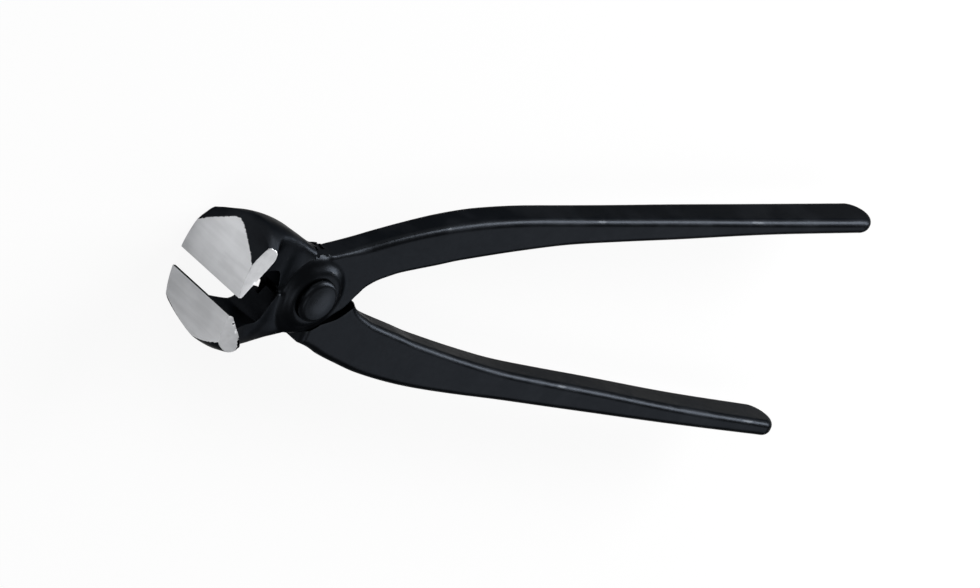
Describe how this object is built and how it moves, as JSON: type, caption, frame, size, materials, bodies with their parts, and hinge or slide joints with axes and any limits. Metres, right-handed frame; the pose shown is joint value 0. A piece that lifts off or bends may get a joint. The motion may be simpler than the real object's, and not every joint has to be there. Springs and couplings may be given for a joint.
{
  "type": "end cutting nippers",
  "caption": "End cutting nippers: crossed forged levers on a large-headed rivet, with arched jaws ground bright, wide cutting edges and long plain handles.",
  "frame": {"origin": "Centre of the rivet's flush rear end, on the pivot axis, in the rear face of the joint.", "axes": "+Z runs along the pivot from the rear face to the rivet head, +X runs along the tool from the joint to the handle tips, the jaws point along -X."},
  "size_m": [0.22, 0.0658, 0.024],
  "materials": {
    "lever_steel": "black oxide on forged steel, jaws ground bright",
    "rivet_steel": "black oxide, worn at the crown of the head"
  },
  "bodies": {
    "rear": {"rear_half": "lever_steel", "pivot_rivet": "rivet_steel"},
    "front": {"front_half": "lever_steel"}
  },
  "joints": [
    {"name": "pivot", "type": "hinge", "parent": "rear", "child": "front", "pos_m": [0, 0, 0.0058], "axis": [0, 0, 1], "range_deg": [-9, 24]}
  ]
}
